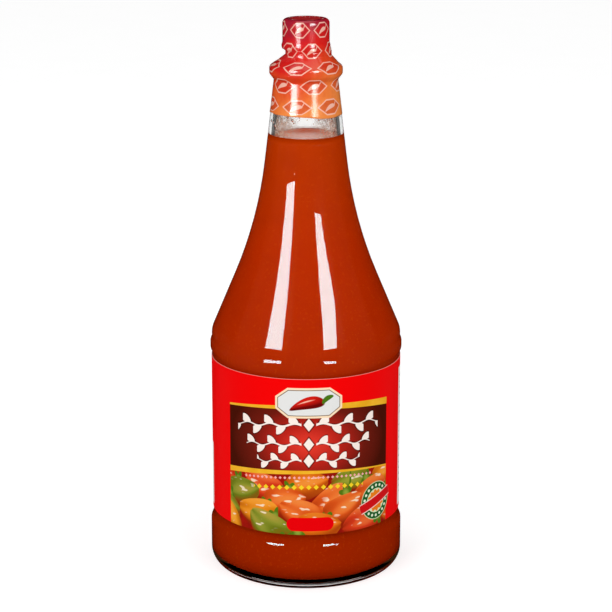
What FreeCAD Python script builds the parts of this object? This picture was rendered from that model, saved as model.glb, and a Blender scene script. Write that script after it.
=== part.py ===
import FreeCAD, Part
import math
import os

# A glass bottle of thin red hot sauce: a recessed label panel between a heel band and a
# small ridge, a straight shoulder cone that sweeps into a long neck, a bead, a small screw
# cap, and a printed shrink sleeve over cap, bead and upper neck.
# Millimetres, +Z up, origin at the middle of the foot. Every piece is turned about Z.

# Glass body, from the foot up
body_diameter = 69.8
heel_radius = 6.0
heel_band_height = 17.3
band_step = 1.3             # height over which the band falls back to the panel
step_fillet = 2.0
panel_recess = 0.9          # how far the panel lies inside the heel band
panel_height = 62.4
ridge_rise = 0.55           # how far the ridge stands out from the panel
ridge_slope = 1.3           # height of each flank of the ridge
ridge_flat = 2.4
ridge_fillet = 1.3
shoulder_land = 2.9         # straight glass between the ridge and the shoulder
shoulder_fillet = 13.5
cone_height = 39.9
cone_top_diameter = 34.4    # where the cone's line meets the neck's line
sweep_fillet = 163.0
neck_height = 50.5
neck_top_diameter = 22.2

# Glass finish: bead and mouth
bead_overhang = 1.6         # how far the bead stands out from the neck
bead_rise = 2.0
bead_land = 2.4
bead_fillet = 1.3
finish_diameter = 13.2
finish_slope = 4.7          # height of the glass that falls from the bead to the finish
finish_height = 10.6
bore_diameter = 8.6
mouth_fillet = 0.6

# Inside of the glass
wall = 2.3
base_thickness = 3.4
inner_heel_radius = 6.5
push_up = 1.6               # height of the hollow under the foot
foot_ring_width = 3.6
bore_rise = 5.0             # height over which the inside narrows to the bore
headspace = 20.4            # from the sauce's level up to the top of the neck

# Cap, seated on the mouth
cap_wall = 1.25
cap_rim_flare = 0.3         # how far the rim stands out from the skirt
cap_rim_height = 1.2
cap_rim_slope = 0.9
cap_skirt_height = 9.0
cap_top = 1.2
cap_edge_fillet = 1.3
cap_clearance = 0.2         # between the skirt and the glass finish

# Shrink sleeve and label
film = 0.15
sleeve_neck_length = 12.3   # film on the neck, below the bead
sleeve_waist_land = 1.7     # height of the film's narrow waist under the cap
sleeve_waist_gap = 1.1      # how far the waist stands clear of the finish
sleeve_turn_in = 2.6        # film that lies on the cap's top, inside its edge
label_thickness = 0.15
label_foot_margin = 3.4     # bare panel under the label
label_head_margin = 1.5     # bare panel over the label

# Most of an outline's side that one arc may take
whole_side = 0.98
shared_side = 0.49


def unit(start, end):
    length = math.hypot(end[0] - start[0], end[1] - start[1])
    return ((end[0] - start[0]) / length, (end[1] - start[1]) / length)


def vector(point):
    return FreeCAD.Vector(point[0], 0, point[1])


def fillet_arc(before, corner, after):
    """Start, middle and end of the arc that rounds a corner, limited by its two sides."""
    u = unit(corner, before)
    v = unit(corner, after)
    opening = math.acos(max(-1.0, min(1.0, u[0] * v[0] + u[1] * v[1])))
    if corner[2] <= 0 or math.pi - opening < 1e-6:
        return None
    # A side that is rounded at its other end too is shared by the two arcs.
    room = min(math.dist(end[:2], corner[:2]) * (shared_side if end[2] else whole_side)
               for end in (before, after))
    reach = min(corner[2] / math.tan(opening / 2), room)
    radius = reach * math.tan(opening / 2)
    middle = unit((0, 0), (u[0] + v[0], u[1] + v[1]))
    depth = radius / math.sin(opening / 2) - radius
    return [(corner[0] + a * s, corner[1] + b * s)
            for (a, b), s in ((u, reach), (middle, depth), (v, reach))]


def edges_along(corners):
    """Lines and tangent arcs along corners, each (radius from axis, height, fillet)."""
    edges = []
    at = corners[0][:2]
    for before, corner, after in zip(corners, corners[1:], corners[2:]):
        arc = fillet_arc(before, corner, after)
        target = arc[0] if arc else corner[:2]
        if math.dist(at, target) > 1e-6:
            edges.append(Part.LineSegment(vector(at), vector(target)).toShape())
        if arc:
            edges.append(Part.Arc(*[vector(p) for p in arc]).toShape())
        at = arc[2] if arc else target
    edges.append(Part.LineSegment(vector(at), vector(corners[-1][:2])).toShape())
    return edges


def turned(edges):
    """The solid made by turning a closed outline about Z."""
    face = Part.Face(Part.Wire(edges))
    solid = face.revolve(FreeCAD.Vector(0, 0, 0), FreeCAD.Vector(0, 0, 1), 360)
    return solid if solid.Volume > 0 else solid.reversed()


def moved_out(corners, distance):
    """The same corners with every side moved to its left, and the fillets to match."""
    normals = []
    for start, end in zip(corners, corners[1:]):
        along = unit(start, end)
        normals.append((-along[1], along[0]))
    moved = []
    for i, (r, z, fillet) in enumerate(corners):
        a = normals[max(i - 1, 0)]
        b = normals[min(i, len(normals) - 1)]
        share = distance / (1 + a[0] * b[0] + a[1] * b[1])
        turn = a[0] * b[1] - a[1] * b[0]
        grown = fillet - distance * math.copysign(1, turn) if fillet else 0
        moved.append((r + (a[0] + b[0]) * share, z + (a[1] + b[1]) * share, max(grown, 0)))
    return moved


def height_on(lower, upper, height):
    """The point at a height on the line between two corners."""
    share = (height - lower[1]) / (upper[1] - lower[1])
    return (lower[0] + (upper[0] - lower[0]) * share, height, 0)


# Heights worked out from the sizes above
panel_start = heel_band_height + band_step
panel_end = panel_start + panel_height
ridge_end = panel_end + 2 * ridge_slope + ridge_flat
shoulder = ridge_end + shoulder_land
cone_end = shoulder + cone_height
neck_end = cone_end + neck_height
bead_end = neck_end + bead_rise + bead_land
finish_start = bead_end + finish_slope
mouth = finish_start + finish_height
skirt_end = mouth - cap_skirt_height
fill_height = neck_end - headspace
sleeve_start = neck_end - sleeve_neck_length
label_start = panel_start + label_foot_margin
label_end = panel_end - label_head_margin

# Radii worked out from the sizes above
body_r = body_diameter / 2
panel_r = body_r - panel_recess
ridge_r = panel_r + ridge_rise
neck_r = neck_top_diameter / 2
bead_r = neck_r + bead_overhang
finish_r = finish_diameter / 2
bore_r = bore_diameter / 2
cap_inner_r = finish_r + cap_clearance
cap_r = cap_inner_r + cap_wall
cap_rim_r = cap_r + cap_rim_flare

cone_corner = (cone_top_diameter / 2, cone_end, sweep_fillet)
neck_corner = (neck_r, neck_end, bead_fillet)
bead_corners = [
    (bead_r, neck_end + bead_rise, bead_fillet),
    (bead_r, bead_end, bead_fillet),
]

outside = [
    (body_r - heel_radius - foot_ring_width, 0, 0),
    (body_r, 0, heel_radius),
    (body_r, heel_band_height, step_fillet),
    (panel_r, panel_start, step_fillet),
    (panel_r, panel_end, ridge_fillet),
    (ridge_r, panel_end + ridge_slope, ridge_fillet),
    (ridge_r, panel_end + ridge_slope + ridge_flat, ridge_fillet),
    (panel_r, ridge_end, ridge_fillet),
    (panel_r, shoulder, shoulder_fillet),
    cone_corner,
    neck_corner,
    *bead_corners,
    (finish_r, finish_start, bead_fillet),
    (finish_r, mouth, mouth_fillet),
    (bore_r, mouth, 0),
]

# The inside runs a wall's thickness behind panel, cone and neck, then narrows to the bore.
wall_line = moved_out([(panel_r, 0, 0), outside[8], cone_corner, neck_corner], wall)
neck_inside = height_on(wall_line[2], wall_line[3], neck_end + bead_rise)
inside = [
    (0, base_thickness, 0),
    (wall_line[0][0], base_thickness, inner_heel_radius),
    wall_line[1],
    wall_line[2],
    (neck_inside[0], neck_inside[1], bead_fillet),
    (bore_r, neck_inside[1] + bore_rise, bead_fillet),
    (bore_r, mouth, 0),
]


def make_bottle():
    ring_edge = outside[0][0]
    hollow = Part.Arc(FreeCAD.Vector(0, 0, push_up),
                      FreeCAD.Vector(ring_edge / 2, 0, push_up * 0.76),
                      FreeCAD.Vector(ring_edge, 0, 0)).toShape()
    axis = Part.LineSegment(vector((0, base_thickness)), vector((0, push_up))).toShape()
    up = edges_along(outside)
    down = edges_along(inside[::-1])
    return turned([hollow, *up, *down, axis])


def make_sauce():
    """The sauce fills the inside of the glass up to its level."""
    over = [
        (0, mouth, 0),
        (0, fill_height, 0),
        (body_r, fill_height, 0),
        (body_r, mouth, 0),
    ]
    cavity = turned([*edges_along(inside), *edges_along([inside[-1], over[0], inside[0]])])
    above = turned(edges_along([*over, over[0]]))
    return cavity.cut(above)


def cap_corners():
    """Outside of the cap, from the skirt's lower rim to the middle of its top."""
    return [
        (cap_rim_r, skirt_end, 0),
        (cap_rim_r, skirt_end + cap_rim_height, 0),
        (cap_r, skirt_end + cap_rim_height + cap_rim_slope, 0),
        (cap_r, mouth + cap_top, cap_edge_fillet),
        (0, mouth + cap_top, 0),
    ]


def make_cap():
    under = [
        (0, mouth + cap_top, 0),
        (0, mouth, 0),
        (cap_inner_r, mouth, 0),
        (cap_inner_r, skirt_end, 0),
        (cap_rim_r, skirt_end, 0),
    ]
    return turned([*edges_along(cap_corners()), *edges_along(under)])


def make_sleeve():
    """A film that lies on neck, bead and cap, and spans the waist between bead and cap."""
    waist_r = finish_r + sleeve_waist_gap
    slope_top = (finish_r, finish_start)
    slope_foot = (bead_r, bead_end)
    share = (slope_foot[0] - waist_r) / (slope_foot[0] - slope_top[0])
    waist_start = slope_foot[1] + (slope_top[1] - slope_foot[1]) * share
    cap_outside = cap_corners()
    path = [
        height_on(cone_corner, neck_corner, sleeve_start),
        neck_corner,
        *bead_corners,
        (waist_r, waist_start, bead_fillet),
        (waist_r, waist_start + sleeve_waist_land, bead_fillet / 2),
        *cap_outside[:-1],
        (cap_r - sleeve_turn_in, mouth + cap_top, 0),
    ]
    outer = moved_out(path, -film)
    joins = [
        Part.LineSegment(vector(outer[-1]), vector(path[-1])).toShape(),
        Part.LineSegment(vector(path[0]), vector(outer[0])).toShape(),
    ]
    return turned([*edges_along(outer), joins[0], *edges_along(path[::-1]), joins[1]])


def make_label():
    """A paper label all round the panel, just above the step from the heel band."""
    outer_r = panel_r + label_thickness
    ring = [
        (panel_r, label_start, 0),
        (outer_r, label_start, 0),
        (outer_r, label_end, 0),
        (panel_r, label_end, 0),
        (panel_r, label_start, 0),
    ]
    return turned(edges_along(ring))


os.makedirs("parts", exist_ok=True)
pieces = {
    "bottle": make_bottle(),
    "sauce": make_sauce(),
    "cap": make_cap(),
    "sleeve": make_sleeve(),
    "label": make_label(),
}
for name, shape in pieces.items():
    if not shape.isValid() or len(shape.Solids) != 1:
        raise ValueError(name + " is not one sound solid")
    shape.Solids[0].exportStep("parts/" + name + ".step")
    box = shape.optimalBoundingBox(False)
    print(name, "volume", round(shape.Volume / 1000, 2), "cm3, diameter",
          round(box.XLength, 2), "heights", round(box.ZMin, 2), round(box.ZMax, 2))
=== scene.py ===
import bpy
import math
import random
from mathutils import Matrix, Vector, noise


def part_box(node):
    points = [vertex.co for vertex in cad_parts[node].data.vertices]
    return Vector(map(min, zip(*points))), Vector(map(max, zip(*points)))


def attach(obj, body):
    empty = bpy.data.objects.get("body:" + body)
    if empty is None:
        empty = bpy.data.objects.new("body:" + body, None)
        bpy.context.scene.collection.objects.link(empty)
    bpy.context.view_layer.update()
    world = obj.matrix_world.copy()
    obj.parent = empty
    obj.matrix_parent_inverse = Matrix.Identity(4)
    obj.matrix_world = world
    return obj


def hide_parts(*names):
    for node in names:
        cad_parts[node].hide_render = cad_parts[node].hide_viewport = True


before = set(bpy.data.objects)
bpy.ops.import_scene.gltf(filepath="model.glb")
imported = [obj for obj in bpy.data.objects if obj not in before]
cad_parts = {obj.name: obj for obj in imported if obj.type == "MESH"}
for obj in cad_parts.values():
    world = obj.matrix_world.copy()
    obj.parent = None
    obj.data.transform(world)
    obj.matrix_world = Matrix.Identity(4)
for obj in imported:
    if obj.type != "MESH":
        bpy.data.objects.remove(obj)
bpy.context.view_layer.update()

mm = 0.001


def heights(node):
    low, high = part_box(node)
    return low[2] / mm, high[2] / mm


def radius(node):
    low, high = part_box(node)
    return (high[0] - low[0]) / 2 / mm


# tools for meshes: everything is in millimetres until the mesh is made

def rounded(corners, turnPerStep=5.0):
    # corners are (radius, height, fillet); the fillets become short runs of points
    points = [Vector(corners[0][:2])]
    for before, corner, after in zip(corners, corners[1:], corners[2:]):
        at = Vector(corner[:2])
        toBefore = Vector(before[:2]) - at
        toAfter = Vector(after[:2]) - at
        opening = toBefore.angle(toAfter)
        if corner[2] <= 0 or math.pi - opening < 1e-5:
            points.append(at)
            continue
        room = min(side.length * (0.49 if end[2] else 0.98)
                   for side, end in ((toBefore, before), (toAfter, after)))
        reach = min(corner[2] / math.tan(opening / 2), room)
        bend = reach * math.tan(opening / 2)
        middle = (toBefore.normalized() + toAfter.normalized()).normalized()
        centre = at + middle * (bend / math.sin(opening / 2))
        start = at + toBefore.normalized() * reach - centre
        turn = math.pi - opening
        if toBefore.x * toAfter.y > toBefore.y * toAfter.x:
            turn = -turn
        steps = max(3, round(abs(math.degrees(turn)) / turnPerStep))
        for i in range(steps + 1):
            c, s = math.cos(turn * i / steps), math.sin(turn * i / steps)
            points.append(centre + Vector((c * start.x - s * start.y, s * start.x + c * start.y)))
    points.append(Vector(corners[-1][:2]))
    return points


def filled(points, step):
    # the same outline with no stretch longer than step
    dense = [points[0]]
    for a, b in zip(points, points[1:]):
        parts = max(1, math.ceil((b - a).length / step))
        dense += [a.lerp(b, (i + 1) / parts) for i in range(parts)]
    return dense


def runLengths(points):
    # how far along an outline each point lies
    far = [0.0]
    for a, b in zip(points, points[1:]):
        far.append(far[-1] + (b - a).length)
    return far


def lineOffset(corners, distance):
    # every side of an outline moved to its right, with fillets to match
    normals = []
    for a, b in zip(corners, corners[1:]):
        along = (Vector(b[:2]) - Vector(a[:2])).normalized()
        normals.append(Vector((along.y, -along.x)))
    moved = []
    for i, corner in enumerate(corners):
        a = normals[max(i - 1, 0)]
        b = normals[min(i, len(normals) - 1)]
        turn = a.x * b.y - a.y * b.x
        place = Vector(corner[:2]) + (a + b) * (distance / (1 + a.dot(b)))
        fillet = corner[2] + distance * math.copysign(1, turn) if corner[2] else 0
        moved.append((place.x, place.y, max(fillet, 0)))
    return moved


def heightOn(lower, upper, height):
    share = (height - lower[1]) / (upper[1] - lower[1])
    return (lower[0] + (upper[0] - lower[0]) * share, height, 0)


def solidMesh(name, points, faces):
    mesh = bpy.data.meshes.new(name)
    mesh.from_pydata([Vector(p) * mm for p in points], [], faces)
    mesh.validate()
    mesh.update()
    mesh.polygons.foreach_set("use_smooth", [True] * len(mesh.polygons))
    piece = bpy.data.objects.new(name, mesh)
    bpy.context.scene.collection.objects.link(piece)
    return piece


def turnedMesh(name, outline, around, shift=None, closed=False):
    # an outline turned about the axis; shift(angle, r, z) gives the uneven r and z
    points, faces, rings = [], [], []
    for r, z in outline:
        if r < 1e-4:
            rings.append([len(points)] * around)
            points.append((0, 0, z))
            continue
        rings.append(list(range(len(points), len(points) + around)))
        for i in range(around):
            angle = 2 * math.pi * i / around
            rr, zz = shift(angle, r, z) if shift else (r, z)
            points.append((rr * math.sin(angle), -rr * math.cos(angle), zz))
    pairs = list(zip(rings, rings[1:] + rings[:1] if closed else rings[1:]))
    for low, high in pairs:
        for i in range(around):
            j = (i + 1) % around
            corner = [low[i], low[j], high[j], high[i]]
            face = [p for k, p in enumerate(corner) if p != corner[k - 1]]
            if len(face) > 2:
                faces.append(face)
    return solidMesh(name, points, faces)


def wobble(seed, angle, z, turns, tall):
    # smooth unevenness between about -1 and 1, without a seam at the back
    return noise.noise(Vector((turns * math.sin(angle), turns * math.cos(angle) + seed * 7.3, z / tall)))


def finish(piece, slotName, material, *replaced):
    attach(piece, "root")
    if replaced:
        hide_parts(*replaced)
    piece.data.materials.clear()
    piece.data.materials.append(material)
    return piece


# tools for materials

class Signal:                                    # the output of a node, with plain arithmetic
    def __init__(self, recipe, socket):
        self.recipe = recipe
        self.socket = socket

    def maths(self, operation, *others, clamp=False):
        settings = dict(operation=operation, use_clamp=clamp)
        return self.recipe.node("Math", settings, dict(enumerate((self,) + others)))

    def flipped(self, operation, first):
        return self.recipe.node("Math", dict(operation=operation), {0: first, 1: self})

    def __add__(self, other):
        return self.maths("ADD", other)

    __radd__ = __add__

    def __sub__(self, other):
        return self.maths("SUBTRACT", other)

    def __rsub__(self, other):
        return self.flipped("SUBTRACT", other)

    def __mul__(self, other):
        return self.maths("MULTIPLY", other)

    __rmul__ = __mul__

    def __truediv__(self, other):
        return self.maths("DIVIDE", other)

    def __rtruediv__(self, other):
        return self.flipped("DIVIDE", other)

    def __abs__(self):
        return self.maths("ABSOLUTE")

    def __pow__(self, other):
        return self.maths("POWER", other)

    def below(self, edge, soft):                 # 1 under the edge, 0 over it
        return ((edge - self) * (1 / soft)).maths("ADD", 0.5, clamp=True)


class Recipe:                                    # one material, or the world, and its nodes
    def __init__(self, name, owner=None):
        self.owner = owner or bpy.data.materials.new(name)
        self.owner.use_nodes = True
        self.tree = self.owner.node_tree
        self.tree.nodes.clear()

    def node(self, kind, settings=None, inputs=None, output=0):
        made = self.tree.nodes.new("ShaderNode" + kind)
        for key, value in (settings or {}).items():
            if key == "stops":
                ramp = made.color_ramp
                while len(ramp.elements) < len(value):
                    ramp.elements.new(1)
                for stop, (place, colour) in zip(ramp.elements, value):
                    stop.position = place
                    stop.color = (*colour, 1)
            else:
                setattr(made, key, value)
        for key, value in (inputs or {}).items():
            socket = made.inputs[key]
            if isinstance(value, Signal):
                self.tree.links.new(value.socket, socket)
            elif isinstance(value, tuple) and len(value) == 3 and socket.type == "RGBA":
                socket.default_value = (*value, 1)
            else:
                socket.default_value = value
        return Signal(self, made.outputs[output])

    def place(self):
        return self.node("TexCoord", output="Object")

    def axes(self, vector):
        made = self.node("SeparateXYZ", None, {0: vector})
        outputs = made.socket.node.outputs
        return [Signal(self, outputs[i]) for i in range(3)]

    def grain(self, size, detail=2.0, vector=None, stretch=None, rough=0.5):
        # noise whose lumps are about size mm across
        at = vector or self.place()
        if stretch:
            at = self.node("Mapping", None, {"Vector": at, "Scale": stretch})
        return self.node("TexNoise", None, {"Vector": at, "Scale": 1 / (size * mm),
                                            "Detail": detail, "Roughness": rough})

    def mix(self, share, under, over):
        return self.node("Mix", dict(data_type="RGBA"), {0: share, 6: under, 7: over}, output=2)

    def ramp(self, value, stops, interpolation="LINEAR"):
        made = self.node("ValToRGB", dict(stops=stops), {0: value})
        made.socket.node.color_ramp.interpolation = interpolation
        return made

    def bump(self, height, distance, strength=1.0):
        return self.node("Bump", None, {"Height": height, "Distance": distance * mm,
                                        "Strength": strength})

    def surface(self, **inputs):
        named = {key.replace("_", " "): value for key, value in inputs.items()}
        return self.node("BsdfPrincipled", None, named)

    def rays(self, *kinds):
        light = self.node("LightPath").socket.node.outputs
        return [Signal(self, light[kind]) for kind in kinds]

    def clear(self, normal, **look):
        # refracts what the camera sees, and lets lamps and bounced light straight through
        glass = self.node("BsdfGlass", None, {"Color": look["colour"], "Roughness": look["roughness"],
                                              "IOR": look["bending"], "Normal": normal})
        shadow, bounced = self.rays("Is Shadow Ray", "Is Diffuse Ray")
        through = self.node("BsdfTransparent", None, {"Color": look["shade"]})
        return self.node("MixShader", None, {0: shadow.maths("MAXIMUM", bounced), 1: glass, 2: through})

    def done(self, shader, kind="Material"):
        output = self.tree.nodes.new("ShaderNodeOutput" + kind)
        self.tree.links.new(shader.socket, output.inputs["Surface"])
        return self.owner


def tint(red, green, blue):
    # a colour as it is seen on a screen, made linear
    return tuple(c / 12.92 if c <= 0.04045 else ((c + 0.055) / 1.055) ** 2.4
                 for c in (red / 255, green / 255, blue / 255))


# the glass bottle

glassForm = dict(
    heelFillet=6.0, heelBand=17.3, bandStep=1.3, stepFillet=2.0,
    footRing=3.6, pushUp=1.6,
    panelRadius=34.0, panelHeight=62.4,
    ridgeRadius=34.55, ridgeSlope=1.3, ridgeFlat=2.4, ridgeFillet=1.3,
    shoulderLand=2.9, shoulderFillet=13.5,
    coneHeight=39.9, coneTopRadius=17.2, sweepFillet=163.0,
    neckHeight=50.5, neckTopRadius=11.1,
    beadRadius=12.7, beadRise=2.0, beadLand=2.4, beadFillet=1.3,
    finishRadius=6.6, finishSlope=4.7, boreRadius=4.3, boreRise=5.0, mouthFillet=0.6,
    wall=2.3, innerHeelFillet=6.5,
    unevenness=0.008, evenFrom=172, around=160,
    # the finish: long sweeps and small seeds in the surface
    sweepSize=26, seedSize=1.1, ripple=0.03, bending=1.5,
    colour=(0.997, 1.0, 0.997), shade=(0.99, 0.99, 0.99))
g = glassForm
_, mouthHeight = heights("bottle")
bodyRadius = radius("bottle")
sauceFoot, fillHeight = heights("sauce")

panelStart = g["heelBand"] + g["bandStep"]
panelEnd = panelStart + g["panelHeight"]
ridgeEnd = panelEnd + 2 * g["ridgeSlope"] + g["ridgeFlat"]
shoulderHeight = ridgeEnd + g["shoulderLand"]
coneEnd = shoulderHeight + g["coneHeight"]
neckEnd = coneEnd + g["neckHeight"]
beadEnd = neckEnd + g["beadRise"] + g["beadLand"]

shoulderCorner = (g["panelRadius"], shoulderHeight, g["shoulderFillet"])
coneCorner = (g["coneTopRadius"], coneEnd, g["sweepFillet"])
neckCorner = (g["neckTopRadius"], neckEnd, g["beadFillet"])
beadCorners = [(g["beadRadius"], neckEnd + g["beadRise"], g["beadFillet"]),
               (g["beadRadius"], beadEnd, g["beadFillet"])]
outside = [
    (bodyRadius - g["heelFillet"] - g["footRing"], 0, 0),
    (bodyRadius, 0, g["heelFillet"]),
    (bodyRadius, g["heelBand"], g["stepFillet"]),
    (g["panelRadius"], panelStart, g["stepFillet"]),
    (g["panelRadius"], panelEnd, g["ridgeFillet"]),
    (g["ridgeRadius"], panelEnd + g["ridgeSlope"], g["ridgeFillet"]),
    (g["ridgeRadius"], panelEnd + g["ridgeSlope"] + g["ridgeFlat"], g["ridgeFillet"]),
    (g["panelRadius"], ridgeEnd, g["ridgeFillet"]),
    shoulderCorner, coneCorner, neckCorner, *beadCorners,
    (g["finishRadius"], beadEnd + g["finishSlope"], g["beadFillet"]),
    (g["finishRadius"], mouthHeight, g["mouthFillet"]),
    (g["boreRadius"], mouthHeight, 0)]

wallLine = lineOffset([(g["panelRadius"], 0, 0), shoulderCorner, coneCorner, neckCorner], -g["wall"])
neckInside = heightOn(wallLine[2], wallLine[3], neckEnd + g["beadRise"])
inside = [
    (0, sauceFoot, 0),
    (wallLine[0][0], sauceFoot, g["innerHeelFillet"]),
    wallLine[1], wallLine[2],
    (neckInside[0], neckInside[1], g["beadFillet"]),
    (g["boreRadius"], neckInside[1] + g["boreRise"], g["beadFillet"]),
    (g["boreRadius"], mouthHeight, 0)]


def glassShift(angle, r, z):
    # a blown wall is never quite round or straight, most of all on the shoulder
    amount = g["unevenness"] * min(1, max(0, z - 2) / 10) * min(1, max(0, g["evenFrom"] - z) / 10)
    return r + amount * (wobble(1, angle, z, 1.1, 31) + 0.5 * wobble(2, angle, z, 2.3, 13)), z


def insideRadius(height):
    # the radius of the inner wall at a height
    for a, b in zip(insideLine, insideLine[1:]):
        if a.y <= height <= b.y and b.y > a.y:
            return a.x + (b.x - a.x) * (height - a.y) / (b.y - a.y)
    return g["boreRadius"]


insideLine = filled(rounded(inside, 3), 4.0)


def glassMaterial():
    m = Recipe("clearGlass")
    sweep = m.grain(g["sweepSize"], 1.0, stretch=(1, 1, 0.4))
    seeds = m.grain(g["seedSize"], 1.0)
    surface = m.bump(sweep * 0.6 + seeds * 0.02, g["ripple"], 0.3)
    return m.done(m.clear(surface, colour=g["colour"], roughness=0.0, bending=g["bending"],
                          shade=g["shade"]))


def makeGlass():
    ringEdge = outside[0][0]
    steps = 12
    hollow = [Vector((ringEdge * i / steps, g["pushUp"] * (1 - (i / steps) ** 2))) for i in range(steps)]
    outline = hollow + filled(rounded(outside, 2), 2.5) + insideLine[::-1]
    piece = turnedMesh("glassBottle", outline, g["around"], glassShift)
    return finish(piece, "glass", glassMaterial(), "bottle")


# the sauce

sauceForm = dict(
    intoWall=0.12, meniscus=0.9, meniscusWidth=1.6, around=128,
    # colour at shares of the bottle's height, darker towards the foot as painted shade, then clouds and bits
    # of pulp in it
    body=[(0.00, (156, 36, 0)), (0.11, (166, 39, 0)), (0.42, (179, 41, 0)),
          (0.60, (187, 44, 0)), (0.72, (188, 50, 0)), (0.81, (188, 54, 0))],
    cloud=(158, 34, 1), cloudSize=9, cloudShare=0.22, pulp=(214, 84, 12), pulpSize=0.9, pulpShare=0.16,
    # against the glass the sauce hardly shines; its open level does, and has a painted glow that lightens it
    againstGlass=dict(gloss=0.035, roughness=0.06, lumps=0.01, paintedGlow=0.0),
    openLevel=dict(gloss=0.22, roughness=0.16, lumps=0.1, paintedGlow=0.4),
    paintedGlowColour=(206, 104, 66))


def sauceMaterial(name, look):
    s = sauceForm
    m = Recipe(name)
    height = m.axes(m.place())[2] / mm
    # the height ramp darkens the sauce towards the foot: painted shade
    body = m.ramp(height / mouthHeight, [(share, tint(*colour)) for share, colour in s["body"]])
    cloud = m.grain(s["cloudSize"], 3.0)
    pulp = m.grain(s["pulpSize"], 2.0)
    colour = m.mix(cloud.below(0.42, 0.3) * s["cloudShare"], body, tint(*s["cloud"]))
    colour = m.mix(pulp.below(0.36, 0.08) * s["pulpShare"], colour, tint(*s["pulp"]))
    # the emission is painted light: a glow on the open level, which is no lamp
    return m.done(m.surface(Base_Color=colour, Roughness=look["roughness"], Specular_IOR_Level=look["gloss"],
                            Normal=m.bump(pulp, look["lumps"], 0.3),
                            Emission_Color=tint(*s["paintedGlowColour"]), Emission_Strength=look["paintedGlow"]))


def makeSauce():
    s = sauceForm
    sides = [(r + s["intoWall"] if r > 1 else 0, z) for r, z in
             (tuple(p) for p in insideLine) if z < fillHeight]
    sides = [(r, z - (s["intoWall"] if i < 2 else 0)) for i, (r, z) in enumerate(sides)]
    edge = insideRadius(fillHeight)
    climb, steps = [], 8
    for i in range(steps + 1):
        back = s["meniscusWidth"] * i / steps
        lift = s["meniscus"] * math.exp(-3.2 * back / s["meniscusWidth"])
        climb.append((edge + s["intoWall"] - back, fillHeight + lift - s["meniscus"] * 0.04))
    level = [(edge * f, fillHeight) for f in (0.6, 0.3, 0)]
    piece = turnedMesh("sauceFill", sides + climb + level, s["around"])
    finish(piece, "sauce", sauceMaterial("redSauce", s["againstGlass"]), "sauce")
    piece.data.materials.append(sauceMaterial("sauceLevel", s["openLevel"]))
    for face in piece.data.polygons:
        face.material_index = int(face.center.z > (fillHeight - 0.2) * mm)
    return piece


# film and drops on the glass above the sauce

headForm = dict(
    top=178.0, film=0.05, drops=170, smallest=0.16, largest=0.62,
    filmColour=(196, 134, 98), lowColour=(196, 80, 44), paleColour=(205, 188, 170),
    dropColour=(0.97, 0.92, 0.86), dropShade=(0.95, 0.93, 0.9), dropBending=1.33)


def residueMaterial():
    h = headForm
    m = Recipe("sauceFilm")
    x, _, z = m.axes(m.place())
    height = z / mm - fillHeight
    low = height.below(1.0, 1.8)
    blotch = m.grain(1.5, 4.0, rough=0.65)
    fine = m.grain(0.45, 3.0, rough=0.7)
    colour = m.mix(low, tint(*h["filmColour"]), tint(*h["lowColour"]))
    colour = m.mix(fine.below(0.46, 0.1), colour, tint(*h["paleColour"]))
    # painted shade: the film is made denser towards the two sides, darkening the neck's edges, and thin
    # before and behind
    side = (abs(x) / mm - 2.0).maths("MAXIMUM", 0) * 0.05
    filmAndSideShade = blotch.below(0.5, 0.22) * (side * 1.3 + 0.005) + fine.below(0.45, 0.15) * (side * 1.2 + 0.01)
    filmAndSideShade = (filmAndSideShade + low * 0.5).maths("MINIMUM", 0.92)
    return m.done(m.surface(Base_Color=colour, Roughness=0.5, Alpha=filmAndSideShade))


def dropMaterial():
    h = headForm
    m = Recipe("dropWater")
    skin = m.bump(m.grain(0.5), 0.02, 0.3)
    return m.done(m.clear(skin, colour=h["dropColour"], roughness=0.02, bending=h["dropBending"],
                          shade=h["dropShade"]))


def makeResidue():
    h = headForm
    foot, steps = fillHeight + 0.5, 24
    levels = [foot + (h["top"] - foot) * i / steps for i in range(steps + 1)]
    outer = [(insideRadius(z) - 0.02, z) for z in levels]
    inner = [(r - h["film"], z) for r, z in outer]
    piece = turnedMesh("sauceFilmInNeck", outer + inner[::-1], 96, closed=True)
    return finish(piece, "sauce", residueMaterial())


def makeDrops():
    h = headForm
    draw = random.Random(41)
    points, faces = [], []
    spokes = 9
    # a flat drop: rings as shares of its size, out along the wall and in from it, then its tip
    rings = [(1.0, -0.06), (0.92, 0.16), (0.55, 0.36)]
    tipRise, footRise, skin = 0.44, -0.05, 0.02

    def add(angle, r, z):
        points.append((r * math.sin(angle), -r * math.cos(angle), z))

    for _ in range(h["drops"]):
        angle = draw.uniform(0, 2 * math.pi)
        z = fillHeight + 1.4 + draw.random() ** 0.8 * (h["top"] - fillHeight - 2.4)
        size = h["smallest"] + (h["largest"] - h["smallest"]) * draw.random() ** 3
        tall = size * draw.uniform(0.9, 1.5)
        wall = insideRadius(z)
        first = len(points)
        for spread, rise in rings:
            for i in range(spokes):
                turn = 2 * math.pi * i / spokes
                up = z + tall * spread * math.sin(turn)
                add(angle + size * spread * math.cos(turn) / wall, insideRadius(up) - size * rise - skin, up)
        add(angle, wall - size * tipRise - skin, z)
        add(angle, wall - size * footRise, z)
        tip, foot = len(points) - 2, len(points) - 1
        last = first + (len(rings) - 1) * spokes
        for i in range(spokes):
            j = (i + 1) % spokes
            faces.append((foot, first + j, first + i))
            for a in range(first, last, spokes):
                faces.append((a + i, a + j, a + spokes + j, a + spokes + i))
            faces.append((last + i, last + j, tip))
    piece = solidMesh("dropsInNeck", points, faces)
    return finish(piece, "glass", dropMaterial())


# the cap

capForm = dict(deep=(176, 12, 18), bright=(206, 22, 24), roughness=0.34, turning=9, grain=0.4)


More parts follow.
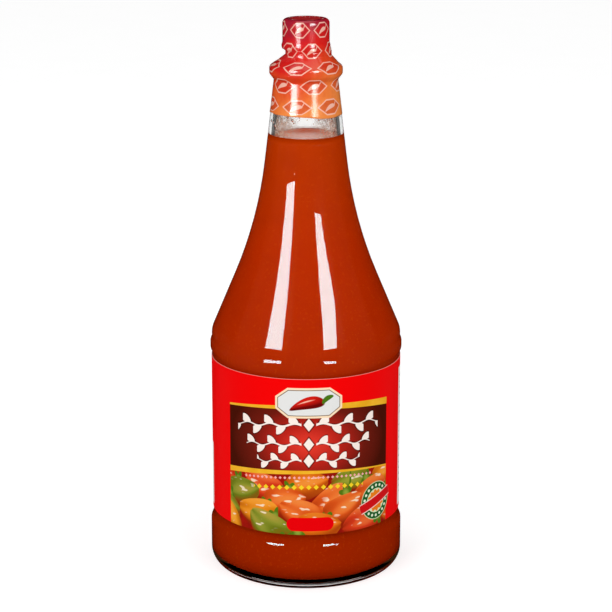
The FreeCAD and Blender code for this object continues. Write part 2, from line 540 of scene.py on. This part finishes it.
def capMaterial():
    c = capForm
    m = Recipe("redCap")
    x, y, _ = m.axes(m.place())
    away = (x * x + y * y).maths("SQRT") / mm
    rings = (away * c["turning"]).maths("SINE")
    colour = m.mix(m.grain(2.0, 3.0), tint(*c["deep"]), tint(*c["bright"]))
    surface = m.bump(rings * 0.3 + m.grain(c["grain"], 3.0), 0.03, 0.5)
    return m.done(m.surface(Base_Color=colour, Roughness=c["roughness"], Normal=surface))


# the shrink sleeve

sleeveForm = dict(
    film=0.14, waistRadius=7.9, waistLand=1.9, waistFillet=1.2, lean=0.9, edgeFillet=1.4,
    lipFoot=0.1, lipHead=1.3, lipEnd=2.2, lipDepth=0.3, rimFillet=0.7, turnIn=2.6, pleat=0.1, around=168,
    # print: frames round the film, rows up it, the width of a printed line, and the chilli in a frame
    repeats=6, rowPitch=7.3, motifPitch=11.6, line=0.45, frameReach=3.4, frameHalf=2.5,
    chilliTurn=26, chilliHalf=2.3, ink=(255, 200, 180), inside=(204, 22, 22),
    # ground, from the neck to the top, with darker clouds in it
    ground=[(0.02, (252, 146, 70)), (0.24, (247, 124, 54)), (0.42, (236, 76, 30)),
            (0.62, (226, 30, 22)), (0.84, (218, 26, 34)), (0.98, (172, 26, 50))],
    cloud=(196, 24, 20))


def sleevePath():
    s = sleeveForm
    sleeveFoot, _ = heights("sleeve")
    skirtFoot, capTop = heights("cap")
    capR = radius("cap")
    share = (g["beadRadius"] - s["waistRadius"]) / (g["beadRadius"] - g["finishRadius"])
    waistStart = beadEnd + g["finishSlope"] * share
    crown = capR - s["lipDepth"]
    lay = s["film"] + 0.06
    path = [
        heightOn(coneCorner, neckCorner, sleeveFoot),
        neckCorner, *beadCorners,
        (s["waistRadius"], waistStart, s["waistFillet"]),
        (s["waistRadius"], waistStart + s["waistLand"], s["rimFillet"]),
        (capR, skirtFoot + s["lipFoot"], s["rimFillet"]),
        (capR, skirtFoot + s["lipHead"], s["rimFillet"]),
        (crown, skirtFoot + s["lipEnd"], s["rimFillet"]),
        (crown, capTop, s["edgeFillet"]),
        (crown - s["turnIn"], capTop, 0)]
    outer = filled(rounded(lineOffset(path, lay), 6), 0.55)
    inner = filled(rounded(lineOffset(path, lay - s["film"]), 6), 0.55)
    return outer, inner


def sleeveMaterial():
    s = sleeveForm
    m = Recipe("printedFilm")
    across, up, _ = m.axes(m.node("UVMap", dict(uv_map="filmMap")))
    x, _, z = m.axes(m.place())
    low, high = heights("sleeve")
    # ground: orange at the neck, red over bead and cap, crimson on top
    rise = (z / mm - low) / (high - low)
    drift = m.grain(8, 2.0) * 0.5 - 0.25
    lean = (x / mm) * 0.014
    colour = m.ramp(rise + drift - lean, [(share, tint(*c)) for share, c in s["ground"]])
    colour = m.mix(m.grain(2.2, 3.0).below(0.4, 0.2) * 0.18, colour, tint(*s["cloud"]))
    # motif, in millimetres of film: six-sided frames in staggered rows, a chilli in each
    wide, tall = s["motifPitch"], s["rowPitch"]
    odd = up.maths("FLOOR").maths("MODULO", 2)
    px = ((across + odd * 0.5).maths("FRACT") - 0.5) * wide
    py = (up.maths("FRACT") - 0.5) * tall
    frameEdge = abs(px) * 0.72 + abs(py) * 0.88 - s["frameReach"]
    frameEdge = frameEdge.maths("MAXIMUM", abs(py) - s["frameHalf"])
    printed = abs(frameEdge).below(s["line"] / 2, 0.12)
    turn = math.radians(s["chilliTurn"])
    c, sn = math.cos(turn), math.sin(turn)
    along, over = px * c + py * sn, py * c - px * sn
    far = (along + 0.4) * (1 / s["chilliHalf"])
    thick = (over + far * far * 0.5 - 0.15) / (far * 0.34 + 0.68)
    pod = (far * far + thick * thick).below(1, 0.16)
    stalk = abs(over - (along - 1.9) * 0.75 + 0.25).below(0.2, 0.12) * abs(along - 2.4).below(0.65, 0.12)
    core = frameEdge.below(-s["line"] / 2, 0.12)
    colour = m.mix(core * 0.5, colour, tint(*s["inside"]))
    printed = printed.maths("MAXIMUM", pod).maths("MAXIMUM", stalk)
    colour = m.mix(printed * 0.88, colour, tint(*s["ink"]))
    creases = m.grain(1.3, 3.0, stretch=(1, 1, 0.35)) + m.grain(0.35, 2.0) * 0.2
    surface = m.bump(creases, 0.11, 0.55)
    gloss = m.grain(1.6, 2.0) * 0.12 + 0.12
    return m.done(m.surface(Base_Color=colour, Roughness=gloss, Normal=surface, Coat_Weight=0.3,
                            Coat_Roughness=0.12))


def makeSleeve():
    s = sleeveForm
    outer, inner = sleevePath()
    low, _ = heights("sleeve")
    waistLow = beadEnd + 1.2
    waistHigh = heights("cap")[0] + 0.4

    def shift(angle, r, z):
        # the film pulls in hard under the cap on one side and tents over the waist on the other
        inWaist = max(0, min(1, (z - waistLow) / 2.2)) * max(0, min(1, (waistHigh - z) / 1.3))
        lean = s["lean"] * inWaist * math.sin(angle)
        free = 0.25 + 0.75 * inWaist
        pleats = s["pleat"] * free * (wobble(3, angle, z, 5.5, 5) + 0.6 * wobble(4, angle, z, 12, 9))
        edge = max(0, 1 - (z - low) / 2.5)
        lift = edge * (0.35 - 0.45 * math.sin(angle) + 0.5 * wobble(5, angle, 0, 2.2, 9))
        return r + lean + max(pleats, -0.05), z + lift

    around = s["around"]
    piece = turnedMesh("shrinkSleeve", [tuple(p) for p in outer + inner[::-1]], around, shift, closed=True)
    # how far up the film each ring lies, for the print
    along = runLengths(outer) + runLengths(inner)[::-1]
    layer = piece.data.uv_layers.new(name="filmMap")
    for face in piece.data.polygons:
        turns = [(corner % around) / around for corner in face.vertices]
        wrapped = max(turns) - min(turns) > 0.5
        for loop, corner, turn in zip(face.loop_indices, face.vertices, turns):
            turn = turn + 1 if wrapped and turn < 0.5 else turn
            up = along[corner // around] / s["rowPitch"]
            layer.data[loop].uv = (turn * s["repeats"] - 0.24, up - 0.02)
    return finish(piece, "sleeve", sleeveMaterial(), "sleeve")


# the label

labelForm = dict(
    thickness=0.13, overlap=5.0, backSeam=178.0,
    red=(250, 1, 3), gold=(238, 172, 28), leafInk=(255, 242, 232), dark=(74, 17, 4),
    # the front print, in millimetres across from the front and up from the label's foot
    frontLeft=-31.0, frontRight=33.8, middle=1.0, arch=0.0023, tilt=0.009, panel=(23.4, 47.4),
    # rows of peppers: height, pitch, start, draw, half length and half height
    heap=[(18.4, 16.5, -8.0, 5, (7.9, 5.2)), (12.4, 17.0, 0.5, 12, (8.2, 5.9)),
          (7.2, 16.0, 6.0, 43, (8.4, 5.8)), (2.4, 18.0, -5.0, 29, (8.8, 6.2))],
    heapColours=[(236, 92, 26), (118, 152, 34), (244, 146, 20), (232, 62, 28), (240, 120, 18),
                 (96, 138, 26), (246, 158, 26), (222, 44, 20)],
    # bands of leaves: height, reach, pitch and height of a leaf
    sprigs=[(40.9, 27.5, 4.5, 6.0), (33.7, 23.5, 4.1, 5.4), (27.6, 19.0, 3.7, 4.7)],
    # rows of small lozenges: height, reach, pitch, size and colour
    beads=[(21.4, 24.5, 1.7, 0.32, (255, 178, 172)), (17.8, 20.5, 2.6, 0.36, (250, 214, 40))],
    # plaque with a pepper, bare lozenge near the foot, rosette at the right
    plaqueHeight=48.8, plaqueHalf=(11.9, 5.5), plaqueCut=8.9,
    plaqueRims=[(0.0, (255, 226, 190)), (0.75, (96, 66, 34)), (1.0, (232, 232, 230))],
    lozenge=(1.5, 3.9), lozengeHalf=(5.9, 2.55), lozengeColour=(236, 0, 8),
    rosette=(28.0, 9.2), rosetteRings=[(7.1, (206, 222, 170)), (6.8, (24, 96, 40)), (4.5, (222, 236, 190))],
    # at the back, as left, right, low and high: two white fields of ruled lines, one cut off
    # slantwise, and a framed table in the other
    fields=[(45.8, 92.0, 1.6, 54.0), (-102.0, -47.2, 1.6, 25.2)], fieldCut=75.4, rulePitch=2.35,
    ruled=[(47.4, 66.0, 4.0, 51.5), (-99.0, -50.5, 4.0, 21.5)],
    table=(68.5, 89.5, 6.0, 51.0), tableLine=0.4, tableRuled=(70.0, 88.0, 8.0, 44.0),
    paper=(246, 244, 240), ink=(52, 46, 46))


class Print:                                     # draws flat shapes on a label, back to front
    def __init__(self, recipe, across, up, ground):
        self.m = recipe
        self.across = across
        self.up = up
        self.colour = ground

    def lay(self, mask, colour, share=1.0):
        self.colour = self.m.mix(mask * share if share != 1.0 else mask, self.colour, colour)

    def local(self, at, turn=0.0, size=(1, 1)):
        # coordinates about a point, turned and scaled so that the shape spans -1 to 1
        both = self.m.node("CombineXYZ", None, {0: self.across, 1: self.up})
        moved = self.m.node("Mapping", dict(vector_type="TEXTURE"), {
            "Vector": both, "Location": (*at, 0), "Rotation": (0, 0, math.radians(turn)),
            "Scale": (*size, 1)})
        return self.m.axes(moved)[:2]

    def block(self, left, right, low, high, soft=0.08):
        side = abs(self.across - (left + right) / 2).below((right - left) / 2, soft)
        return side * abs(self.up - (low + high) / 2).below((high - low) / 2, soft)

    def heapRow(self, level, pitch, start, seed, size, window, specks):
        # a row of peppers: each cell draws its own turn, bend, height and colour
        m = self.m
        cell = (self.across - start) / pitch
        luck = m.axes(m.node("TexWhiteNoise", dict(noise_dimensions="1D"),
                             {"W": cell.maths("FLOOR") + seed}, output=1))
        x = (cell.maths("FRACT") - 0.5) * pitch
        rise = self.up - level - luck[0] * 3.0 + 1.5
        flip = (luck[2] * 7.0).maths("FRACT").below(0.5, 0.001) * math.pi
        turned = m.node("VectorRotate", dict(rotation_type="Z_AXIS"), {
            "Vector": m.node("CombineXYZ", None, {0: x, 1: rise}), "Angle": luck[1] * 1.4 - 0.7 + flip})
        x, y = m.axes(turned)[:2]
        x, y = x / size[0], y / size[1]
        # a broad shoulder by the stalk, a narrow tip, and lobes that run from one to the other
        y = (y + x * x * (luck[0] - 0.5) * 0.5) / (x * 0.27 + 1)
        across = y / (1.06 - x * x).maths("MAXIMUM", 0.05).maths("SQRT")
        lobe = (across * 5.2 + luck[1] * 2.0).maths("COSINE")
        away = x * x + y * y - lobe * 0.035
        mask = away.below(1, 0.05) * window
        colours = labelForm["heapColours"]
        hue = m.ramp(luck[2], [(i / len(colours), tint(*c)) for i, c in enumerate(colours)], "CONSTANT")
        tone = rise * 0.055 - away * 0.30 + lobe * 0.10 + 0.62
        skin = m.mix(tone.below(0.38, 0.55), hue, tint(148, 34, 6))
        skin = m.mix((tone - 0.52).maths("MAXIMUM", 0) * 1.3, skin, tint(255, 186, 92))
        skin = m.mix(specks * (1 - tone.below(0.55, 0.15)) * 0.85, skin, tint(255, 236, 206))
        self.lay(mask, skin)
        # the stalk: a green star with a short curved stem
        dx, dy = (x - 0.80) * 2.9, y * 1.9
        out = dx * dx + dy * dy
        star = (dy.maths("ARCTAN2", dx) * 5.0).maths("COSINE") * 0.35 + 0.62
        stem = abs(dy - dx * dx * 0.35).below(0.17, 0.06) * abs(dx - 0.9).below(1.0, 0.1)
        leaf = m.mix(out.below(0.12, 0.3), tint(84, 120, 20), tint(150, 168, 60))
        self.lay((out - star).below(0, 0.12).maths("MAXIMUM", stem) * window, leaf)

    def sprig(self, level, middle, reach, pitch, tall, colour, rim):
        # a band of slanting leaves on a waved stem, mirrored about the middle
        mirrored = abs(self.across - middle)
        steps = (mirrored - 2.6) / pitch
        side = 1 - steps.maths("FLOOR").maths("MODULO", 2) * 2
        x = (steps.maths("FRACT") - 0.5) * pitch
        wave = (steps * math.pi).maths("SINE") * 0.55
        y = (level - wave) * side
        lean = x - y * 0.62
        along = (y - tall * 0.27) / (tall * 0.30)
        over = lean / (pitch * 0.34) / (1 - along * 0.35)
        away = along * along + over * over
        within = abs(mirrored - (reach + 2.6) / 2).below((reach - 2.6) / 2, 0.1)
        stem = abs(level - wave) - (reach - mirrored) * 0.012 - 0.14
        gem = mirrored * 0.55 + abs(level) * 0.42
        self.lay((away.below(1.8, 0.4) * within).maths("MAXIMUM", gem.below(1.3, 0.2)), rim, 0.7)
        shape = away.below(1, 0.12).maths("MAXIMUM", stem.below(0, 0.1)) * within
        self.lay(shape.maths("MAXIMUM", gem.below(1, 0.08)), colour)


def labelMaterial():
    f = labelForm
    m = Recipe("printedPaper")
    across, up, _ = m.axes(m.node("UVMap", dict(uv_map="labelMap")))
    low, high = heights("label")
    tall = high - low
    p = Print(m, across, up, m.mix(m.grain(7, 2.0) * 0.2, tint(*f["red"]), tint(240, 0, 3)))
    left, right, mid = f["frontLeft"], f["frontRight"], f["middle"]
    offMid = across - mid
    mirrored = abs(offMid)
    sides = abs(across - (left + right) / 2).below((right - left) / 2, 0.08)
    # arched height: swooshes, panel and sprigs all follow it
    level = up + offMid * offMid * f["arch"] - offMid * f["tilt"]
    panelLow, panelHigh = f["panel"]
    wide, tallness = offMid * (1 / 31), (up - 33.5) * (1 / 20)
    glow = (1 - (wide * wide + tallness * tallness).maths("SQRT")).maths("MAXIMUM", 0) ** 0.8
    pit = m.ramp(glow, [(0.0, tint(*f["dark"])), (0.40, tint(112, 26, 14)), (0.72, tint(190, 36, 26)),
                        (1.0, tint(238, 62, 46))])
    p.lay(sides * level.below(panelHigh, 0.08), pit)
    # the heap of peppers under the panel
    picture = sides * level.below(panelLow, 0.08)
    specks = m.grain(2.6, 1.0, m.node("CombineXYZ", None, {0: across * mm, 1: up * mm}),
                     stretch=(0.6, 1.5, 1)).below(0.36, 0.05)
    p.lay(picture, m.mix(m.grain(3.5, 2.0), tint(96, 14, 6), tint(190, 24, 10)))
    for height, pitch, start, seed, size in f["heap"]:
        p.heapRow(height, pitch, start, seed, size, picture, specks)
    # the two swooshes, each thick at one end
    top = abs(level - panelHigh).below(offMid * 0.0139 + 0.8, 0.08)
    bottom = abs(level - panelLow).below(0.6 - offMid * 0.0122, 0.08)
    p.lay(top.maths("MAXIMUM", bottom) * sides,
          m.mix(m.grain(5, 2.0).below(0.5, 0.4), tint(*f["gold"]), tint(248, 190, 48)))
    # sprigs of leaves, where a maker's words would stand
    for height, reach, pitch, leaf in f["sprigs"]:
        p.sprig(level - height, mid, reach, pitch, leaf, tint(*f["leafInk"]), tint(40, 6, 2))
    # a row of dots under the lower swoosh, and a row of yellow lozenges
    for height, reach, pitch, size, colour in f["beads"]:
        beat = (offMid / pitch + 0.5).maths("FRACT") - 0.5
        line = (level - height) / pitch
        p.lay((abs(beat) + abs(line)).below(size, 0.06) * mirrored.below(reach, 0.1), tint(*colour))
    # plaque over the upper swoosh, with a pepper on it
    by = abs(up - f["plaqueHeight"])
    wideHalf, tallHalf = f["plaqueHalf"]
    plaque = (mirrored - wideHalf).maths("MAXIMUM", by - tallHalf)
    plaque = plaque.maths("MAXIMUM", mirrored * 0.60 + by * 0.80 - f["plaqueCut"])
    for inset, colour in f["plaqueRims"]:
        p.lay(plaque.below(-inset, 0.08), tint(*colour))
    x, y = p.local((mid - 0.8, f["plaqueHeight"] - 0.4), 14, (6.4, 2.1))
    y = (y + x * x * 0.5 - 0.15) / (x * 0.45 + 1)
    away = x * x + y * y
    skin = m.mix((y * 0.5 - away * 0.4 + 0.5).below(0.35, 0.5), tint(214, 26, 16), tint(110, 4, 4))
    shine = abs(away * 0.5 + abs(y - 0.35)).below(0.16, 0.14)
    p.lay(away.below(1, 0.12), m.mix(shine, skin, tint(255, 196, 170)))
    x, y = p.local((mid + 6.4, f["plaqueHeight"] + 1.6), 34, (2.4, 0.9))
    p.lay((x * x + (y + x * x * 0.6) ** 2).below(1, 0.15), tint(74, 120, 24))
    # bare red lozenge near the foot
    wideHalf, tallHalf = f["lozengeHalf"]
    px = (abs(across - f["lozenge"][0]) - wideHalf).maths("MAXIMUM", 0)
    py = up - f["lozenge"][1]
    p.lay((px * px + py * py).below(tallHalf ** 2, 0.4), tint(*f["lozengeColour"]))
    # rosette: a green ring with pale dots, a sun and a red band across
    sx, sy = across - f["rosette"][0], up - f["rosette"][1]
    out = (sx * sx + sy * sy).maths("SQRT")
    around = sy.maths("ARCTAN2", sx)
    for edge, colour in f["rosetteRings"]:
        p.lay(out.below(edge, 0.08), tint(*colour))
    p.lay(out.below((around * 12).maths("SINE") * 0.35 + 3.9, 0.1), tint(240, 128, 24))
    dot = (around * (9 / math.pi)).maths("FRACT") - 0.5
    ring = (out - 5.65) * (1 / 2.0)
    p.lay((dot * dot + ring * ring).below(0.07, 0.04), tint(232, 244, 214))
    band = abs(sy - sx * 0.30)
    inBand = out.below(7.9, 0.1)
    for half, colour in ((2.0, (255, 214, 206)), (1.65, (214, 16, 22))):
        p.lay(band.below(half, 0.08) * inBand, tint(*colour))
    # white fields at the back, with plain rules
    white, ink = tint(*f["paper"]), tint(*f["ink"])
    corner = (up - across).below(f["fieldCut"], 0.08)
    p.lay(p.block(*f["fields"][0]), white)
    p.lay(p.block(*f["fields"][1]) * corner, white)
    line = up * (1 / f["rulePitch"])
    rules = abs(line.maths("FRACT") - 0.5).below(0.09, 0.03)
    run = m.node("CombineXYZ", None, {0: across * 0.25, 1: line.maths("FLOOR") * 3.1})
    ragged = m.node("TexNoise", None, {"Vector": run, "Scale": 1.0, "Detail": 1.0}).below(0.60, 0.02)
    written = p.block(*f["ruled"][0]).maths("MAXIMUM", p.block(*f["ruled"][1]) * corner)
    p.lay(rules * ragged * written, ink, 0.85)
    left, right, foot, head = f["table"]
    for inset, colour in ((0.0, ink), (f["tableLine"], white)):
        p.lay(p.block(left + inset, right - inset, foot + inset, head - inset), colour)
    p.lay(rules * p.block(*f["tableRuled"]), ink, 0.7)
    # a thin pale pink line runs along the upper cut edge
    p.colour = m.mix((up - tall + 0.12).below(0, 0.06), tint(250, 150, 140), p.colour)
    fibre = m.grain(0.5, 4.0, rough=0.6)
    surface = m.bump(fibre * 0.12 + m.grain(14, 2.0) * 0.9, 0.05, 0.6)
    return m.done(m.surface(Base_Color=p.colour, Roughness=fibre * 0.10 + 0.34, Specular_IOR_Level=0.02,
                            Normal=surface))


def makeLabel():
    f = labelForm
    low, high = heights("label")
    paperR = g["panelRadius"] + 0.03
    seam = math.radians(f["backSeam"])
    lap = f["overlap"] / paperR
    steps, rows = 220, 30
    points, maps, faces = [], [], []
    for layer in (0, 1):
        for k in range(rows + 1):
            up = (high - low) * k / rows
            for i in range(steps + 1):
                angle = -seam + (2 * math.pi + lap) * i / steps
                climb = max(0, min(1, (angle - seam + lap * 0.6) / (lap * 0.7)))
                lift = 0.02 * wobble(6, angle, up, 2.6, 16) + 0.02
                r = paperR + lift + climb * (f["thickness"] + 0.05) + layer * f["thickness"]
                curl = 0.05 * max(0, 1 - up / 1.2) * max(0, wobble(7, angle, 0, 3.0, 9))
                r += curl
                points.append((r * math.sin(angle), -r * math.cos(angle), low + up))
                maps.append((angle * (g["panelRadius"] + f["thickness"]), up))
    size = (rows + 1) * (steps + 1)

    def at(layer, k, i):
        return layer * size + k * (steps + 1) + i

    for k in range(rows):
        for i in range(steps):
            faces.append((at(1, k, i), at(1, k, i + 1), at(1, k + 1, i + 1), at(1, k + 1, i)))
            faces.append((at(0, k, i), at(0, k + 1, i), at(0, k + 1, i + 1), at(0, k, i + 1)))
    for i in range(steps):
        faces.append((at(0, 0, i), at(0, 0, i + 1), at(1, 0, i + 1), at(1, 0, i)))
        faces.append((at(0, rows, i), at(1, rows, i), at(1, rows, i + 1), at(0, rows, i + 1)))
    for k in range(rows):
        faces.append((at(0, k, 0), at(1, k, 0), at(1, k + 1, 0), at(0, k + 1, 0)))
        faces.append((at(0, k, steps), at(0, k + 1, steps), at(1, k + 1, steps), at(1, k, steps)))
    piece = solidMesh("paperLabel", points, faces)
    layer = piece.data.uv_layers.new(name="labelMap")
    for loop in piece.data.loops:
        layer.data[loop.index].uv = maps[loop.vertex_index]
    piece.data.set_sharp_from_angle(angle=math.radians(40))
    return finish(piece, "label", labelMaterial(), "label")


# camera, floor and lights

stageForm = dict(                                # metres here
    eye=(0.0, -0.743, 0.2957), lookDown=14.99, lens=125.6, sensor=36.0,
    floorHalf=3.0, floorGlow=0.47, roomLight=0.55,
    # lamps: name, place, size and power, all turned to the middle of the label
    lamps=[("keyLeft", (-0.75, -0.95, 0.75), (0.7, 0.9), 6.0),
           ("keyRight", (0.75, -0.95, 0.75), (0.7, 0.9), 4.6)],
    lampAim=(0, 0, 0.1),
    # strips of light that gloss sees: where they start and end at foot and head, in degrees right of
    # the front, then the heights of foot and head
    strips=[("stripLeft", (-49.0, -49.5), (-28.7, -29.0), 0.1635, 0.42),
            ("stripRight", (22.0, 24.0), (43.0, 43.0), 0.221, 0.42),
            ("stripRightFoot", (20.0, 22.0), (33.0, 43.0), 0.1845, 0.221)],
    stripFar=0.25, stripPower=18.0, stripColour=(0.66, 1.0, 1.0),
    # black flags all round, and a black collar that keeps the strips off the bare neck
    flagFar=1.5, flagStep=20, flagHeights=(-0.01, 3.0), floorFlag=(1.6, 0.0012),
    collar=(-60, 60), collarHeights=(0.1495, 0.169), collarFar=0.06,
    # dim cards that only the glass sees through: beside the bottle, and under its foot
    shades=[("shadeLeft", -158), ("shadeRight", 100)], shadeTurn=58, shadeFar=1.4,
    shadeHeights=(-0.3, 0.5), shadeColour=(0.09, 0.085, 0.08),
    footShade=(0.12, 0.0006), footColour=(0.045, 0.016, 0.005))


def makeCamera():
    f = stageForm
    lens = bpy.data.cameras.new("view")
    lens.sensor_width = f["sensor"]
    lens.lens = f["lens"]
    lens.clip_start = 0.05
    lens.clip_end = 20.0
    camera = bpy.data.objects.new("view", lens)
    camera.location = f["eye"]
    camera.rotation_euler = (math.radians(90 - f["lookDown"]), 0, 0)
    bpy.context.scene.collection.objects.link(camera)
    bpy.context.scene.camera = camera


def seenWhite(m):
    # 1 for what the camera sees, also in glass and in gloss; 0 for light that only bounces about
    seen, inGloss, inGlass = m.rays("Is Camera Ray", "Is Glossy Ray", "Is Transmission Ray")
    return seen.maths("MAXIMUM", inGloss).maths("MAXIMUM", inGlass)


def square(half, height):
    return [(x * half, y * half, height) for x, y in ((-1, -1), (1, -1), (1, 1), (-1, 1))]


def flatSheet(name, corners):
    # one face, from corners in metres
    return solidMesh(name, [tuple(c / mm for c in corner) for corner in corners], [(0, 1, 2, 3)])


def makeFloor():
    m = Recipe("paleFloor")
    colour = m.mix(m.grain(40, 3.0), (0.86, 0.86, 0.86), (0.89, 0.89, 0.89))
    matt = m.surface(Base_Color=colour, Roughness=0.9, Specular_IOR_Level=0.0)
    floor = flatSheet("floor", square(stageForm["floorHalf"], 0))
    # the lit floor keeps the bottle's shadow; a little of its own light brings it to white
    glow = m.node("Emission", None, {"Color": (1, 1, 1), "Strength": stageForm["floorGlow"]})
    both = m.node("AddShader", None, {0: matt, 1: glow})
    floor.data.materials.append(m.done(m.node("MixShader", None, {0: seenWhite(m), 1: matt, 2: both})))


def makeCard(name, corners, colour=(0, 0, 0), strength=0.0):
    # a card that only gloss can see: a black flag or a strip of light
    card = flatSheet(name, corners)
    m = Recipe(name + "Face")
    card.data.materials.append(m.done(m.node("Emission", None, {"Color": colour, "Strength": strength})))
    card.visible_camera = False
    card.visible_diffuse = False
    card.visible_shadow = False
    card.visible_transmission = False
    card.visible_volume_scatter = False
    return card


def wallCard(name, start, end, low, high, far, colour=(0, 0, 0), strength=0.0):
    # an upright card between two directions, given as degrees right of the front at its foot and head
    corners = []
    for azimuth, height in ((start[0], low), (end[0], low), (end[1], high), (start[1], high)):
        a = math.radians(azimuth)
        corners.append((far * math.sin(a), -far * math.cos(a), height))
    return makeCard(name, corners, colour, strength)


def onlyThroughGlass(card):
    card.visible_transmission = True
    card.visible_glossy = False


def makeCards():
    f = stageForm
    for name, start, end, low, high in f["strips"]:
        wallCard(name, start, end, low, high, f["stripFar"], f["stripColour"], f["stripPower"])
    left, right = f["collar"]
    wallCard("collar", (left, left), (right, right), *f["collarHeights"], f["collarFar"])
    for number, start in enumerate(range(-180, 180, f["flagStep"])):
        end = start + f["flagStep"]
        wallCard("flag%d" % number, (start, start), (end, end), *f["flagHeights"], f["flagFar"])
    for name, start in f["shades"]:
        end = start + f["shadeTurn"]
        onlyThroughGlass(wallCard(name, (start, start), (end, end), *f["shadeHeights"], f["shadeFar"],
                                  f["shadeColour"], 1.0))
    makeCard("floorFlag", square(*f["floorFlag"]))
    onlyThroughGlass(makeCard("footShade", square(*f["footShade"]), f["footColour"], 1.0))


def makeLamp(name, place, size, power):
    lamp = bpy.data.lights.new(name, "AREA")
    lamp.shape = "RECTANGLE"
    lamp.size, lamp.size_y = size
    lamp.energy = power
    holder = bpy.data.objects.new(name, lamp)
    holder.location = place
    aim = Vector(stageForm["lampAim"]) - Vector(place)
    holder.rotation_euler = aim.to_track_quat("-Z", "Y").to_euler()
    holder.visible_glossy = False
    holder.visible_camera = False
    bpy.context.scene.collection.objects.link(holder)


def makeWorld():
    m = Recipe("studio", bpy.data.worlds.new("studio"))
    level = seenWhite(m) * (1 - stageForm["roomLight"]) + stageForm["roomLight"]
    sky = m.node("Background", None, {"Color": (1, 1, 1), "Strength": level})
    bpy.context.scene.world = m.done(sky, "World")


makeCamera()
makeFloor()
makeWorld()
for lamp in stageForm["lamps"]:
    makeLamp(*lamp)
makeCards()
bpy.context.scene.view_settings.view_transform = "Standard"
print("camera, floor and lights are set")

makeGlass()
print("glass is turned")
makeSauce()
makeResidue()
makeDrops()
print("sauce, film and drops are in")
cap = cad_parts["cap"]
cap.data.materials.clear()
cap.data.materials.append(capMaterial())
makeSleeve()
print("sleeve is on")
makeLabel()
print("label is on")
